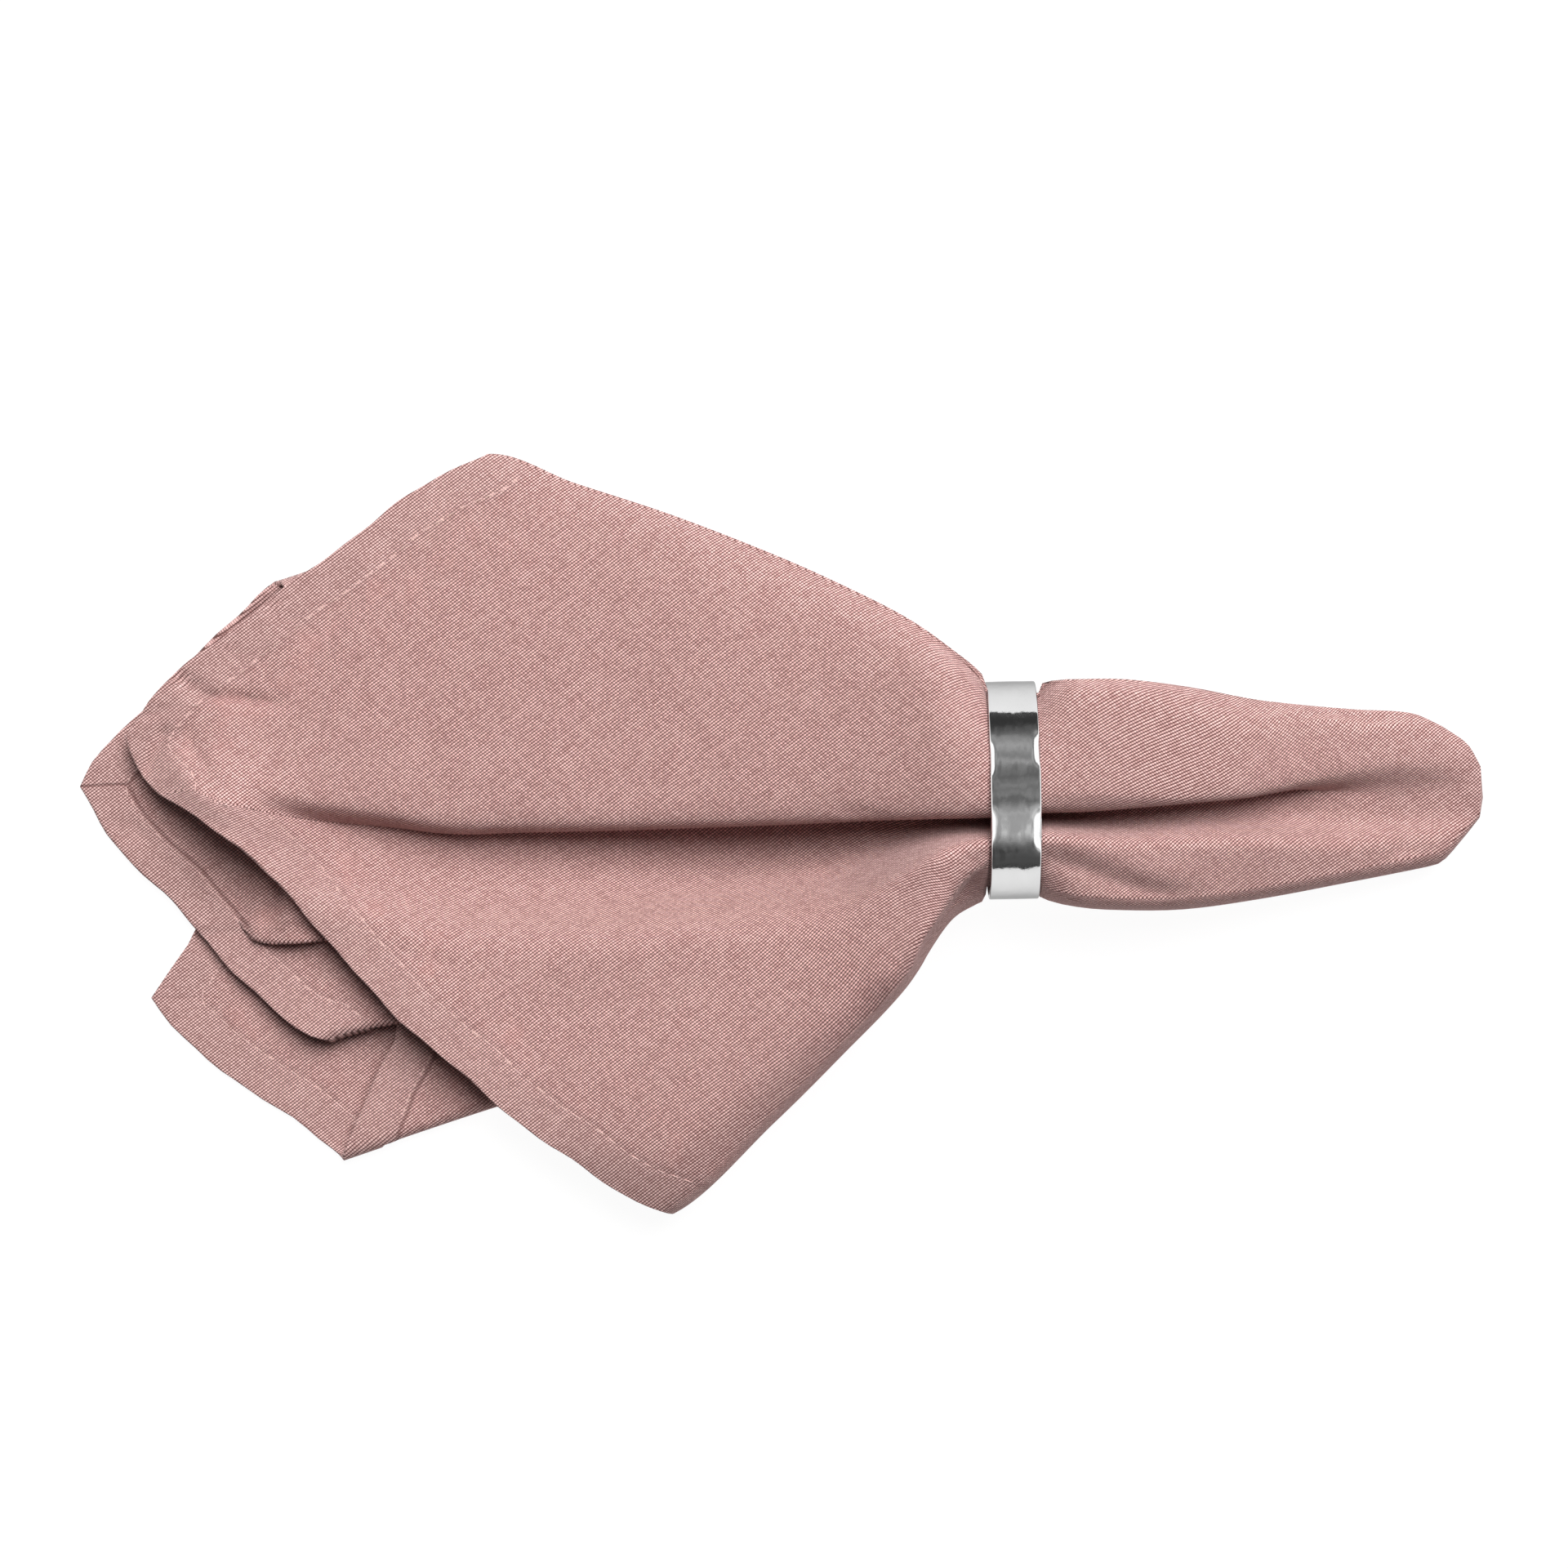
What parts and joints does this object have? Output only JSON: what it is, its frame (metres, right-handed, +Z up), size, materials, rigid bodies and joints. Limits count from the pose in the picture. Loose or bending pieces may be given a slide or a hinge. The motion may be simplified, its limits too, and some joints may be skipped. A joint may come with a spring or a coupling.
{
  "type": "cloth napkin in a ring",
  "caption": "Square cotton napkin picked up at its middle, drawn through a plain polished metal ring and laid flat with its folded hems fanned out.",
  "frame": {"origin": "middle of the part's box in plan, on the table it rests on", "axes": "+X along the ring's axis from the fanned hems to the napkin's middle, +Z up from the table"},
  "size_m": [0.288, 0.1554, 0.0439],
  "materials": {
    "cloth": "matt plain-weave cotton, dusty rose",
    "ring_metal": "polished"
  },
  "bodies": {
    "root": {"napkin": "cloth", "ring": "ring_metal"}
  },
  "joints": []
}
